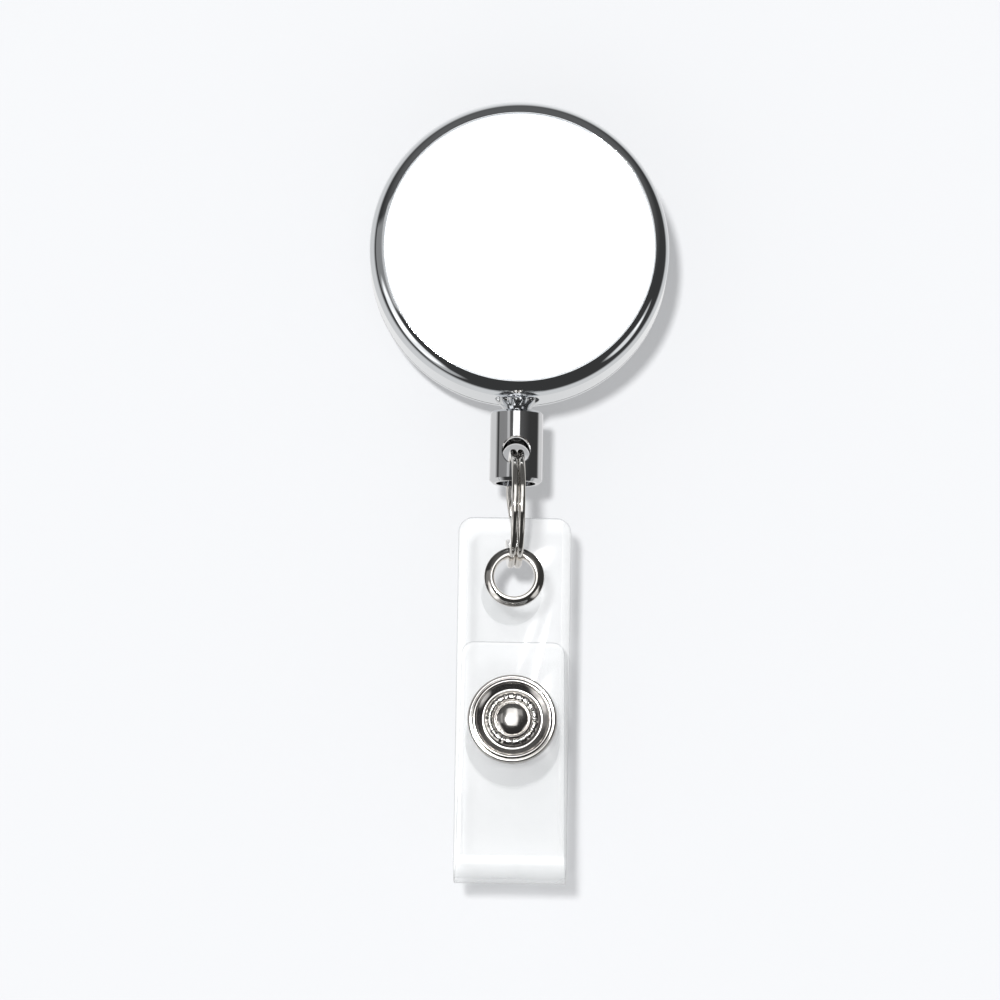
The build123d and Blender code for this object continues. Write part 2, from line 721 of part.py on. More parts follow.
with BuildPart() as clip_arm:
    with BuildSketch(Plane.YZ):
        with BuildLine():
            arm_root_y = clip_axis_y + clip_bend_r
            FilletPolyline(
                (arm_root_y, clip_bend_z),
                (arm_root_y, clip_bend_z - clip_arm_root),
                (clip_pinch_y, clip_pinch_z),
                (clip_tip_y, clip_tip_z),
                radius=clip_arm_round,
            )
            offset(amount=clip_t, side=Side.LEFT)
        make_face()
    extrude(amount=clip_w / 2, both=True)
    with BuildSketch(facing_front(case_depth)) as arm_outline:
        with Locations((0, clip_tip_z - clip_t)):
            Rectangle(clip_w, clip_bend_z - clip_tip_z + clip_t, align=(Align.CENTER, Align.MIN))
        fillet(arm_outline.vertices().group_by(Axis.Z)[0], clip_corner_r)
    extrude(amount=case_depth, mode=Mode.INTERSECT)
clip_arm.part.label = "clip_arm"
export_step(clip_arm.part, "parts/clip_arm.step")

with BuildPart() as clip_rivets:
    for z in (clip_rivet_z, -clip_rivet_z):
        with BuildSketch(Plane.XY.offset(z)):
            with BuildLine():
                Polyline(
                    (0, clip_t + clip_rivet_head_h),
                    (0, seam_y - clip_rivet_tail_h),
                    (clip_rivet_tail_r, seam_y - clip_rivet_tail_h),
                    (clip_rivet_tail_r, seam_y),
                    (clip_rivet_r, seam_y),
                    (clip_rivet_r, clip_t),
                    (clip_rivet_head_r, clip_t),
                )
                dome(clip_rivet_head_r, clip_t, clip_t + clip_rivet_head_h)
            make_face()
        revolve(axis=axis_at(z))
clip_rivets.part.label = "clip_rivets"
export_step(clip_rivets.part, "parts/clip_rivets.step")
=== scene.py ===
"""Looks of the retractable badge reel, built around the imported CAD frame.

Lengths are metres in the CAD's frame: +Z up, the label faces -Y, the reel's axis runs along Y.
"""

import math

import bmesh
import bpy
from mathutils import Matrix, Vector


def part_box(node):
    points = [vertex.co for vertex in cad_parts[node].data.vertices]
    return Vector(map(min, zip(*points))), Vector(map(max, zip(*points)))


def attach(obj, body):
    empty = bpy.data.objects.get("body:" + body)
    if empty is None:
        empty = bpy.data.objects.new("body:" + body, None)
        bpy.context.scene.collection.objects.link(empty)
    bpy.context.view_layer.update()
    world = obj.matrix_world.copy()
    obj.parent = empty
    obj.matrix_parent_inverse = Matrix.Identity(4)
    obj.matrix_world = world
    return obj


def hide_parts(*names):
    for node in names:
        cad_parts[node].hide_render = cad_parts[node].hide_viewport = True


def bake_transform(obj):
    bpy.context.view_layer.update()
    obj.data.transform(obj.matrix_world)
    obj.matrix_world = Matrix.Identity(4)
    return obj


MM = 0.001

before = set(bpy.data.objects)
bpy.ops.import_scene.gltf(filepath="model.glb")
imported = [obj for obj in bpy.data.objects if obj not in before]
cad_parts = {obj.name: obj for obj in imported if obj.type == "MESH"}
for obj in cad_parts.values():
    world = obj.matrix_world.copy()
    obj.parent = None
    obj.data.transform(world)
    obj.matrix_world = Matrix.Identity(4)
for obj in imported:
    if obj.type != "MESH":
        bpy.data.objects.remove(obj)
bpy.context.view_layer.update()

X_AXIS = Vector((1, 0, 0))
Y_AXIS = Vector((0, 1, 0))
Z_AXIS = Vector((0, 0, 1))


# ------------------------------------------------------------------ places from the CAD


def low(node):
    """Lowest corner of a CAD node's box."""
    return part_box(node)[0]


def high(node):
    """Highest corner of a CAD node's box."""
    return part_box(node)[1]


def middle(node):
    """Centre of a CAD node's box."""
    return (low(node) + high(node)) / 2


CASE_R = high("front_shell").x
FRONT_Y = low("front_shell").y
SEAM_Y = high("front_shell").y
DISC_R = high("insert_disc").x
DISC_FRONT_Y = low("insert_disc").y
DISC_BACK_Y = high("insert_disc").y
CORD_Y = middle("cord_tail").y
CORD_R = high("cord_tail").x
BUSH_END_Z = low("outlet_bush").z
RING_CENTRE = Vector((0, CORD_Y, middle("split_ring").z))
RING_R = (high("split_ring").z - low("split_ring").z) / 2
STRAP_FRONT_Y = low("strap_back").y
STRAP_REAR_Y = high("strap_back").y
STRAP_T = STRAP_REAR_Y - STRAP_FRONT_Y
STRAP_W = high("strap_back").x * 2
STRAP_TOP_Z = high("strap_back").z
FLAP_FRONT_Y = low("strap_flap").y
FLAP_REAR_Y = high("strap_flap").y
FLAP_TOP_Z = high("strap_flap").z
FLAP_FOOT_W = high("strap_flap").x * 2
FOLD_BOTTOM_Z = low("strap_fold").z
EYELET_Z = middle("eyelet").z
EYELET_R = high("eyelet").x
SNAP_Z = middle("snap_cap").z
SNAP_R = high("snap_cap").x
CLIP_W = high("clip_base").x * 2
CLIP_T = high("clip_base").y


# ------------------------------------------------------------------ mesh helpers


def new_object(name, data):
    """Puts a mesh, a curve, a light or a camera in the scene."""
    piece = bpy.data.objects.new(name, data)
    bpy.context.scene.collection.objects.link(piece)
    return piece


def from_bmesh(name, bm, smooth_angle=None):
    """Turns a bmesh into a smooth-shaded object, with edges sharper than smooth_angle kept hard."""
    bmesh.ops.recalc_face_normals(bm, faces=bm.faces)
    mesh = bpy.data.meshes.new(name)
    bm.to_mesh(mesh)
    bm.free()
    mesh.shade_smooth()
    if smooth_angle is not None:
        mesh.set_sharp_from_angle(angle=math.radians(smooth_angle))
    return new_object(name, mesh)


def rectangle(half_w, half_h):
    """Corners of a rectangle about the origin."""
    return [(-half_w, -half_h), (half_w, -half_h), (half_w, half_h), (-half_w, half_h)]


def rounded(points, radius, steps=6, hold=0.3):
    """Closed outline through points with rounded corners. Each corner's arc has a support point
    beside it, a share hold of the radius away, which keeps the flats flat when shaded smooth.
    radius is one number, or one for each point, and a corner with radius 0 stays a point."""
    outline = []
    count = len(points)
    radii = radius if isinstance(radius, (list, tuple)) else [radius] * count
    for i, point in enumerate(points):
        here = Vector(point)
        back = Vector(points[i - 1]) - here
        on = Vector(points[(i + 1) % count]) - here
        if radii[i] == 0:
            outline.append(here)
            continue
        half = back.angle(on) / 2
        reach = min(radii[i] / math.tan(half), 0.45 * back.length, 0.45 * on.length)
        back.normalize()
        on.normalize()
        centre = here + (back + on).normalized() * reach / math.cos(half)
        start = here + back * reach - centre
        end = here + on * reach - centre
        outline.append(here + back * reach * (1 + hold))
        sweep = start.angle(end)
        for k in range(steps + 1):
            t = k / steps
            share = (math.sin((1 - t) * sweep) * start + math.sin(t * sweep) * end) / math.sin(sweep)
            outline.append(centre + share)
        outline.append(here + on * reach * (1 + hold))
    return outline


def smooth_path(points, per_span=8, closed=False):
    """Points along a Catmull-Rom curve through the given points."""
    knots = [Vector(p) for p in points]
    count = len(knots)
    spans = count if closed else count - 1
    path = []
    for i in range(spans):
        if closed:
            a, b, c, d = (knots[(i + k) % count] for k in (-1, 0, 1, 2))
        else:
            a, b = knots[max(i - 1, 0)], knots[i]
            c, d = knots[i + 1], knots[min(i + 2, count - 1)]
        for k in range(per_span):
            t = k / per_span
            path.append(
                0.5 * (2 * b + (c - a) * t + (2 * a - 5 * b + 4 * c - d) * t * t
                       + (3 * b - a - 3 * c + d) * t * t * t)
            )
    if not closed:
        path.append(knots[-1])
    return path


def lathe(name, outline, origin, axis, across, steps=192, smooth_angle=None):
    """Turns an outline of (radius, height) points about an axis. A closed outline makes a ring;
    an outline whose first and last points have radius 0 makes a solid with two poles."""
    bm = bmesh.new()
    third = axis.cross(across)
    rings = []
    for r, h in outline:
        if r < 1e-7:
            rings.append([bm.verts.new(origin + axis * h)])
            continue
        ring = []
        for k in range(steps):
            turn = 2 * math.pi * k / steps
            way = across * math.cos(turn) + third * math.sin(turn)
            ring.append(bm.verts.new(origin + axis * h + way * r))
        rings.append(ring)
    solid = len(rings[0]) == 1 and len(rings[-1]) == 1
    pairs = list(zip(rings, rings[1:]))
    if not solid:
        pairs.append((rings[-1], rings[0]))
    for one, two in pairs:
        for k in range(steps):
            n = (k + 1) % steps
            if len(one) == 1 and len(two) > 1:
                bm.faces.new((one[0], two[k], two[n]))
            elif len(two) == 1 and len(one) > 1:
                bm.faces.new((one[k], one[n], two[0]))
            elif len(one) > 1:
                bm.faces.new((one[k], one[n], two[n], two[k]))
    return from_bmesh(name, bm, smooth_angle)


def sweep(name, sections, closed=False, smooth_angle=None):
    """Joins sections, each a list of points in space, into a tube with flat ends."""
    bm = bmesh.new()
    rings = [[bm.verts.new(p) for p in section] for section in sections]
    pairs = list(zip(rings, rings[1:]))
    if closed:
        pairs.append((rings[-1], rings[0]))
    count = len(rings[0])
    for one, two in pairs:
        for k in range(count):
            n = (k + 1) % count
            bm.faces.new((one[k], one[n], two[n], two[k]))
    if not closed:
        bm.faces.new(rings[0])
        bm.faces.new(rings[-1])
    return from_bmesh(name, bm, smooth_angle)


def ease(t):
    """Smooth step from 0 to 1."""
    t = min(max(t, 0), 1)
    return t * t * (3 - 2 * t)


# ------------------------------------------------------------------ materials


class Nodes:
    """A material's node tree, with short calls to add and join nodes."""

    def __init__(self, name):
        self.material = bpy.data.materials.new(name)
        self.material.use_nodes = True
        self.tree = self.material.node_tree
        self.tree.nodes.clear()
        self.output = self.add("ShaderNodeOutputMaterial")
        self.place = self.add("ShaderNodeTexCoord").outputs["Object"]

    def add(self, kind, **inputs):
        """Adds a node and sets or links its inputs, named with _ for a space."""
        node = self.tree.nodes.new(kind)
        for key, value in inputs.items():
            self.put(node.inputs[key.replace("_", " ")], value)
        return node

    def put(self, socket, value):
        """Links a socket to another, or sets its value."""
        if isinstance(value, bpy.types.NodeSocket):
            self.tree.links.new(value, socket)
        else:
            socket.default_value = value

    def maths(self, operation, *values):
        """The result of a sum on sockets or numbers."""
        node = self.add("ShaderNodeMath")
        node.operation = operation
        for socket, value in zip(node.inputs, values):
            self.put(socket, value)
        return node.outputs[0]

    def length(self, vector):
        """The length of a vector."""
        node = self.add("ShaderNodeVectorMath")
        node.operation = "LENGTH"
        self.put(node.inputs[0], vector)
        return node.outputs["Value"]

    def noise(self, scale, detail=3, stretch=(1, 1, 1)):
        """Noise over the surface's own place, finer along an axis with a larger stretch."""
        mapping = self.add("ShaderNodeMapping", Vector=self.place)
        mapping.inputs["Scale"].default_value = stretch
        return self.add(
            "ShaderNodeTexNoise", Vector=mapping.outputs[0], Scale=scale, Detail=detail
        ).outputs["Fac"]

    def between(self, value, low_in, high_in, low_out, high_out):
        """Maps a value from one range to another, smoothly."""
        node = self.add("ShaderNodeMapRange")
        node.interpolation_type = "SMOOTHSTEP"
        for socket, amount in zip(node.inputs, (value, low_in, high_in, low_out, high_out)):
            self.put(socket, amount)
        return node.outputs[0]

    def tint(self, factor, colour_a, colour_b):
        """Mixes two colours by a factor."""
        node = self.add("ShaderNodeMix")
        node.data_type = "RGBA"
        self.put(node.inputs["Factor"], factor)
        node.inputs[6].default_value = (*colour_a, 1)
        node.inputs[7].default_value = (*colour_b, 1)
        return node.outputs[2]

    def bump(self, height, strength, distance):
        """A bump from a height."""
        return self.add(
            "ShaderNodeBump", Height=height, Strength=strength, Distance=distance
        ).outputs[0]

    def finish(self, shader):
        """Sends a shader to the output."""
        self.put(self.output.inputs["Surface"], shader)
        return self.material


def plated(name, colour, smudge, rough_low, rough_high, wear=0.0):
    """Plated metal: faint polish haze and hairline waves, and duller where it is handled."""
    n = Nodes(name)
    haze = n.noise(420, 4)
    fine = n.noise(5200, 2)
    roughness = n.between(haze, 0.35, 0.75, rough_low, rough_high)
    base = n.tint(haze, colour, [c * (1 - smudge) for c in colour])
    shader = n.add("ShaderNodeBsdfPrincipled", Base_Color=base, Roughness=roughness)
    shader.inputs["Metallic"].default_value = 1
    if wear:
        n.put(shader.inputs["Normal"], n.bump(fine, wear, 2e-6))
    return n.finish(shader.outputs[0])


def plastic(name, colour, roughness, grain, colour_shift=0.06):
    """Moulded plastic: fine texture and a slight unevenness of colour."""
    n = Nodes(name)
    cloud = n.noise(260, 3)
    fine = n.noise(9000, 2)
    base = n.tint(cloud, colour, [c * (1 - colour_shift) for c in colour])
    rough = n.between(cloud, 0.2, 0.8, roughness * 0.9, roughness * 1.1)
    shader = n.add(
        "ShaderNodeBsdfPrincipled",
        Base_Color=base,
        Roughness=rough,
        Normal=n.bump(fine, grain, 4e-6),
    )
    return n.finish(shader.outputs[0])


def printed_white():
    """Glossy white label film: faint orange peel under a clear coat."""
    n = Nodes("label_white")
    peel = n.noise(900, 2)
    fibre = n.noise(6000, 4)
    base = n.tint(fibre, (0.93, 0.93, 0.935), (0.90, 0.90, 0.905))
    shader = n.add(
        "ShaderNodeBsdfPrincipled",
        Base_Color=base,
        Roughness=n.between(peel, 0.3, 0.7, 0.32, 0.42),
        Normal=n.bump(peel, 0.06, 4e-6),
    )
    shader.inputs["Coat Weight"].default_value = 0.4
    shader.inputs["Coat Roughness"].default_value = 0.08
    return n.finish(shader.outputs[0])


CLEAR = (0.992, 0.994, 0.994)
# Grey of the painted shadows in the clear vinyl below the eyelet and the snap.
SHADOW_GREY = (0.88, 0.885, 0.885)
# Painted shadows of the eyelet and the snap, greyer discs in the clear vinyl about 2 mm below each: the
# mark's centre in X and Z, and its radius.
PAINTED_SHADOW_MARKS = (
    ((-0.27 * MM, EYELET_Z - 2.0 * MM), 3.3 * MM),
    ((0.1 * MM, SNAP_Z - 2.1 * MM), 5.2 * MM),
)


def inside_marks(n, marks):
    """1 inside any of the marks and 0 outside them."""
    inside = None
    for (x, z), radius in marks:
        offset = n.add("ShaderNodeMapping", Vector=n.place)
        offset.inputs["Location"].default_value = (-x, 0, -z)
        offset.inputs["Scale"].default_value = (1, 0, 1)
        disc = n.between(n.length(offset.outputs[0]), radius * 0.94, radius, 1, 0)
        inside = disc if inside is None else n.maths("MAXIMUM", inside, disc)
    return inside


def clear_vinyl(name, haze, colour, marks=()):
    """Clear vinyl sheet: mostly see-through, with a milky haze that varies and a soft gloss on its
    outside, and greyer inside the given marks, which are painted shadows."""
    n = Nodes(name)
    cloud = n.noise(130, 3)
    wave = n.noise(240, 1, (1, 1, 0.5))
    normal = n.bump(wave, 0.04, 6e-5)
    see = n.add("ShaderNodeBsdfTransparent")
    see.inputs["Color"].default_value = (*CLEAR, 1)
    # Painted shadow: the see-through colour turns greyer inside the marks below the eyelet and the snap.
    if marks:
        n.put(see.inputs["Color"], n.tint(inside_marks(n, marks), CLEAR, SHADOW_GREY))
    body = n.add("ShaderNodeBsdfPrincipled", Normal=normal)
    body.inputs["Base Color"].default_value = (*colour, 1)
    body.inputs["Roughness"].default_value = 0.4
    milk = n.add("ShaderNodeMixShader", Fac=n.between(cloud, 0.3, 0.7, haze * 0.85, haze * 1.15))
    n.put(milk.inputs[1], see.outputs[0])
    n.put(milk.inputs[2], body.outputs[0])
    gloss = n.add("ShaderNodeBsdfGlossy", Normal=normal)
    gloss.inputs["Roughness"].default_value = 0.08
    fresnel = n.add("ShaderNodeFresnel", Normal=normal)
    fresnel.inputs["IOR"].default_value = 1.5
    outside = n.maths("SUBTRACT", 1, n.add("ShaderNodeNewGeometry").outputs["Backfacing"])
    shine = n.maths("MULTIPLY", fresnel.outputs[0], outside)
    both = n.add("ShaderNodeMixShader", Fac=shine)
    n.put(both.inputs[1], milk.outputs[0])
    n.put(both.inputs[2], gloss.outputs[0])
    return n.finish(both.outputs[0])


def braided_cord():
    """Black braided cord: crossing strands as a bump, with a soft sheen."""
    strand_pitch = 0.9 * MM
    strands = 4
    n = Nodes("cord_nylon")
    split = n.add("ShaderNodeSeparateXYZ", Vector=n.place)
    across = n.maths("SUBTRACT", split.outputs["Y"], CORD_Y)
    turn = n.maths("ARCTAN2", across, split.outputs["X"])
    waves = []
    for lean in (1, -1):
        rate = lean * 2 * math.pi / strand_pitch
        phase = n.maths("MULTIPLY", turn, strands)
        waves.append(n.maths("SINE", n.maths("MULTIPLY_ADD", split.outputs["Z"], rate, phase)))
    weave = n.maths("MAXIMUM", *waves)
    # Painted shade and highlight: the black is darker in the grooves between the strands and lighter on their
    # crowns.
    shader = n.add(
        "ShaderNodeBsdfPrincipled",
        Base_Color=n.tint(weave, (0.006, 0.006, 0.007), (0.03, 0.03, 0.032)),
        Normal=n.bump(weave, 0.6, 4e-5),
    )
    shader.inputs["Roughness"].default_value = 0.55
    shader.inputs["Sheen Weight"].default_value = 0.3
    return n.finish(shader.outputs[0])


chrome = plated("case_chrome", (0.91, 0.935, 0.96), 0.05, 0.03, 0.07, 0.02)
collar_chrome = plated("collar_chrome", (0.88, 0.89, 0.90), 0.06, 0.04, 0.10, 0.05)
barrel_chrome = plated("barrel_chrome", (0.90, 0.905, 0.92), 0.06, 0.05, 0.10, 0.03)
ring_nickel = plated("ring_nickel", (0.86, 0.83, 0.79), 0.08, 0.06, 0.14, 0.06)
snap_nickel = plated("snap_nickel", (0.66, 0.64, 0.615), 0.12, 0.13, 0.22, 0.15)
clip_steel = plated("clip_steel", (0.80, 0.80, 0.81), 0.06, 0.14, 0.26, 0.15)
rivet_steel = plated("rivet_steel", (0.72, 0.72, 0.73), 0.08, 0.16, 0.30, 0.15)
spring_steel = plated("spring_steel", (0.42, 0.44, 0.50), 0.15, 0.18, 0.35, 0.1)
label_white = printed_white()
adhesive = plastic("adhesive", (0.75, 0.74, 0.68), 0.5, 0.1)
washer_nylon = plastic("washer_nylon", (0.78, 0.77, 0.72), 0.42, 0.15)
spool_plastic = plastic("spool_plastic", (0.05, 0.05, 0.055), 0.38, 0.2)
cord_nylon = braided_cord()
vinyl = clear_vinyl("vinyl_clear", 0.20, (0.76, 0.765, 0.77), marks=PAINTED_SHADOW_MARKS)
# Painted shade: the strap's cut edges get a greyer, hazier vinyl that stands in for the darkening refraction
# gives them.
vinyl_edge = clear_vinyl("vinyl_edge", 0.62, (0.50, 0.53, 0.54))
vinyl_margin = clear_vinyl("vinyl_margin", 0.52, (0.64, 0.645, 0.65))
# Painted light: the fold's vinyl is paler than the clear vinyl, to lift the shade on the fold's underside,
# which turns away from the key light. Its thicker haze also darkens the shadow under the fold.
vinyl_fold = clear_vinyl("vinyl_fold", 0.28, (0.86, 0.868, 0.87))

CAD_MATERIALS = {
    "front_shell": chrome,
    "back_cover": chrome,
    "insert_disc": label_white,
    "insert_adhesive": adhesive,
    "outlet_bush": collar_chrome,
    "arbor_post": rivet_steel,
    "clip_rivets": rivet_steel,
    "front_washer": washer_nylon,
    "rear_washer": washer_nylon,
    "spool_drum": spool_plastic,
    "spring_cover": spool_plastic,
    "power_spring": spring_steel,
    "cord_winding": cord_nylon,
    "cord_anchor_knot": cord_nylon,
    "cord_lead": cord_nylon,
    "cord_tail": cord_nylon,
    "cord_stop": cord_nylon,
    "swivel_barrel": barrel_chrome,
    "split_ring": ring_nickel,
    "strap_back": vinyl,
    "strap_fold": vinyl,
    "strap_flap": vinyl,
    "eyelet": ring_nickel,
    "eyelet_washer": ring_nickel,
    "snap_cap": snap_nickel,
    "snap_socket": snap_nickel,
    "snap_stud": snap_nickel,
    "snap_post": snap_nickel,
    "clip_base": clip_steel,
    "clip_bend": clip_steel,
    "clip_arm": clip_steel,
}
for node_name, material in CAD_MATERIALS.items():
    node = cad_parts[node_name]
    node.data.materials.clear()
    node.data.materials.append(material)


# ------------------------------------------------------------------ strap


BEND_STEPS = 28
FOLD_SWELL = 0.55 * MM  # how far the fold bulges past the snapped layers, each way
SWELL_TOP_Z = SNAP_Z - 5.2 * MM
EYELET_HOLE_R = EYELET_R - 0.68 * MM  # the holes are hidden under the metal
SNAP_HOLE_R = 1.5 * MM
MARGIN_W = 0.95 * MM  # milky margin along the strap's cut sides
FOLD_BAND = 2.75 * MM  # height of the hazier, paler vinyl over the fold, whose paler colour is painted light that lifts the shade on the fold's underside
FLAP_TAPER = 0.7 * MM  # how much narrower the flap is at its top than at its foot
STRAP_EDGE = 0.07 * MM  # rounding of the strip's cut edges
RIM_SLOT, MARGIN_SLOT, FOLD_SLOT = 1, 2, 3  # the strap's material slots after the clear one


def strap_line():
    """The strap's middle line in the YZ plane, from its top end down, round the fold and up to
    the flap's top, as points with their distance along it."""
    back_y = (STRAP_FRONT_Y + STRAP_REAR_Y) / 2
    flap_y = (FLAP_FRONT_Y + FLAP_REAR_Y) / 2
    bend_r = (back_y - flap_y) / 2 + FOLD_SWELL
    bend_y = (back_y + flap_y) / 2
    bend_z = FOLD_BOTTOM_Z + STRAP_T / 2 + bend_r
    swell_length = SWELL_TOP_Z - bend_z
    points = [(back_y, STRAP_TOP_Z)]
    steps = 48
    for k in range(steps + 1):
        t = k / steps
        points.append((back_y + FOLD_SWELL * ease(t), SWELL_TOP_Z - swell_length * t))
    for k in range(1, BEND_STEPS):
        turn = math.pi * k / BEND_STEPS
        points.append((bend_y + bend_r * math.cos(turn), bend_z - bend_r * math.sin(turn)))
    for k in range(steps + 1):
        t = k / steps
        points.append((flap_y - FOLD_SWELL * ease(1 - t), bend_z + swell_length * t))
    points.append((flap_y, FLAP_TOP_Z))
    line = [(0.0, Vector(points[0]))]
    for a, b in zip(points, points[1:]):
        line.append((line[-1][0] + (Vector(b) - Vector(a)).length, Vector(b)))
    return line


def on_line(line, s):
    """Point and direction at distance s along the line."""
    for (s0, p0), (s1, p1) in zip(line, line[1:]):
        if s <= s1 or s1 == line[-1][0]:
            t = (s - s0) / (s1 - s0)
            return p0.lerp(p1, t), (p1 - p0).normalized()


def distance_at(line, z, rising):
    """Distance along the line where it passes height z, going down or, when rising, up."""
    for (s0, p0), (s1, p1) in zip(line, line[1:]):
        if (p1.y > p0.y) == rising and min(p0.y, p1.y) <= z <= max(p0.y, p1.y):
            return s0 + (z - p0.y) / (p1.y - p0.y) * (s1 - s0)


def plate_curve(outlines, half_thickness, edge):
    """A flat plate with rounded edges from closed outlines, the first the outside and the rest
    holes, as a mesh in the XY plane."""
    curve = bpy.data.curves.new("plate", "CURVE")
    curve.dimensions = "2D"
    curve.fill_mode = "BOTH"
    curve.extrude = half_thickness - edge
    curve.bevel_depth = edge
    curve.bevel_resolution = 2
    curve.offset = -edge
    for outline in outlines:
        spline = curve.splines.new("POLY")
        spline.points.add(len(outline) - 1)
        for point, place in zip(spline.points, outline):
            point.co = (place[0], place[1], 0, 1)
        spline.use_cyclic_u = True
    holder = new_object("plate", curve)
    mesh = bpy.data.meshes.new_from_object(holder.evaluated_get(bpy.context.evaluated_depsgraph_get()))
    bpy.data.objects.remove(holder)
    return mesh


def cut(bm, place, normal):
    """Adds the edges where a plane meets a bmesh."""
    geometry = bm.verts[:] + bm.edges[:] + bm.faces[:]
    bmesh.ops.bisect_plane(bm, geom=geometry, plane_co=place, plane_no=normal, dist=1e-8)


def circle(centre, radius, count=96):
    """Points round a circle in a plane."""
    turns = (2 * math.pi * k / count for k in range(count))
    return [(centre[0] + radius * math.cos(a), centre[1] + radius * math.sin(a)) for a in turns]


def make_strap():
    """One strip of clear vinyl, cut flat with its holes and then bent along the strap's line."""
    line = strap_line()
    length = line[-1][0]
    foot_s = distance_at(line, high("strap_fold").z, rising=True)
    fold_s = distance_at(line, high("strap_fold").z, rising=False)
    side = STRAP_W / 2
    foot = FLAP_FOOT_W / 2
    flap_top = (FLAP_FOOT_W - FLAP_TAPER) / 2
    outside = rounded(
        [(-side, 0), (side, 0), (side, fold_s), (foot, foot_s),
         (flap_top, length), (-flap_top, length), (-foot, foot_s), (-side, fold_s)],
        [1.6 * MM, 1.6 * MM, 2 * MM, 2 * MM, 1.3 * MM, 1.3 * MM, 2 * MM, 2 * MM],
        steps=12,
    )
    eyelet_s = distance_at(line, EYELET_Z, rising=False)
    holes = [
        circle((0, eyelet_s), EYELET_HOLE_R),
        circle((0, distance_at(line, SNAP_Z, rising=False)), SNAP_HOLE_R),
        circle((0, distance_at(line, SNAP_Z, rising=True)), SNAP_HOLE_R),
    ]
    mesh = plate_curve([outside, *holes], STRAP_T / 2, STRAP_EDGE)
    bm = bmesh.new()
    bm.from_mesh(mesh)
    bmesh.ops.remove_doubles(bm, verts=bm.verts, dist=1e-7)
    swell_s = distance_at(line, SWELL_TOP_Z, rising=False)
    far_s = distance_at(line, SWELL_TOP_Z, rising=True)
    cuts = 90
    for k in range(cuts + 1):
        s = swell_s + (far_s - swell_s) * k / cuts
        cut(bm, (0, s, 0), (0, 1, 0))
    margin_x = side - MARGIN_W
    for x in (-margin_x, margin_x):
        cut(bm, (x, 0, 0), (1, 0, 0))
    for vert in bm.verts:
        place, way = on_line(line, vert.co.y)
        out = Vector((-way.y, way.x))
        yz = place + out * vert.co.z
        vert.co = (vert.co.x, yz.x, yz.y)
    bmesh.ops.recalc_face_normals(bm, faces=bm.faces)
    strap = from_bmesh("vinyl_strap", bm, 35)
    for material in (vinyl, vinyl_edge, vinyl_margin, vinyl_fold):
        strap.data.materials.append(material)
    for face in strap.data.polygons:
        flat = abs(face.normal.x) < 0.4
        near_top = face.center.z > STRAP_TOP_Z - 0.12 * MM
        in_flap = face.center.y < FLAP_REAR_Y + 0.1 * MM
        near_flap_top = in_flap and face.center.z > FLAP_TOP_Z - 0.1 * MM
        rim = not flat or (face.normal.z > 0.4 and (near_top or near_flap_top))
        if rim:
            face.material_index = RIM_SLOT
        elif face.center.z < FOLD_BOTTOM_Z + FOLD_BAND:
            face.material_index = FOLD_SLOT
        elif abs(face.center.x) > margin_x and face.center.y > STRAP_FRONT_Y - FOLD_SWELL:
            face.material_index = MARGIN_SLOT
    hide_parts("strap_back", "strap_fold", "strap_flap")
    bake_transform(strap)


make_strap()


# ------------------------------------------------------------------ case


def make_case_shell():
    """The front shell: a drawn cup with a rounded shoulder, and a recess for the label."""
    shoulder = 2.0 * MM
    centre_r = CASE_R - shoulder
    recess_r = DISC_R + 0.07 * MM
    lip_r = recess_r + 0.05 * MM
    recess_y = DISC_BACK_Y + 0.12 * MM
    wall = 0.9 * MM
    lip_turn = math.asin((lip_r - centre_r) / shoulder)
    centre_y = FRONT_Y + shoulder * math.cos(lip_turn)
    outline = []
    steps = 40
    for k in range(steps + 1):
        turn = lip_turn + (math.pi / 2 - lip_turn) * k / steps
        outline.append((centre_r + shoulder * math.sin(turn), centre_y - shoulder * math.cos(turn)))
    outline.append((CASE_R, centre_y + 0.05 * MM))
    outline += rounded(
        [(CASE_R, SEAM_Y - 0.4 * MM), (CASE_R, SEAM_Y), (CASE_R - wall, SEAM_Y),
         (CASE_R - wall, recess_y + wall), (2 * MM, recess_y + wall), (2 * MM, recess_y),
         (recess_r, recess_y)],
        [0, 0.12 * MM, 0.05 * MM, 0.4 * MM, 0.05 * MM, 0.05 * MM, 0.04 * MM],
    )
    outline.append(Vector((recess_r, FRONT_Y + 0.06 * MM)))
    shell = lathe("case_shell", outline, Vector((0, 0, 0)), Y_AXIS, X_AXIS, 256)
    shell.data.materials.append(chrome)
    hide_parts("front_shell")
    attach(shell, "case")


make_case_shell()


# ------------------------------------------------------------------ split ring


def make_split_ring():
    """Two flat coils of one wire, side by side, joined by a ramp at the back."""
    wire_w, gap = 0.70 * MM, 0.04 * MM
    wire_h = 1.0 * MM
    wire_corner = 0.28 * MM
    twist = math.radians(3.0)
    normal = Vector((math.cos(twist), math.sin(twist), 0))
    back = Vector((-math.sin(twist), math.cos(twist), 0))
    ramp = math.radians(30)
    side = (wire_w + gap) / 2
    mid_r = RING_R - wire_h / 2
    section = rounded(
        rectangle(wire_h / 2, wire_w / 2),
        wire_corner,
        steps=7,
    )
    start, end = 2 * math.pi - ramp, -(2 * math.pi - ramp)
    steps = 560
    sections = []
    for k in range(steps + 1):
        turn = start + (end - start) * k / steps
        shift = side * (2 * ease((ramp - turn) / (2 * ramp)) - 1)
        out = back * math.cos(turn) + Z_AXIS * math.sin(turn)
        sections.append(
            [RING_CENTRE + out * (mid_r + p.x) + normal * (shift + p.y) for p in section]
        )
    ring = sweep("split_ring_wire", sections, smooth_angle=60)
    ring.data.materials.append(ring_nickel)
    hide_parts("split_ring")
    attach(ring, "ring")


make_split_ring()


# ------------------------------------------------------------------ eyelet and snap


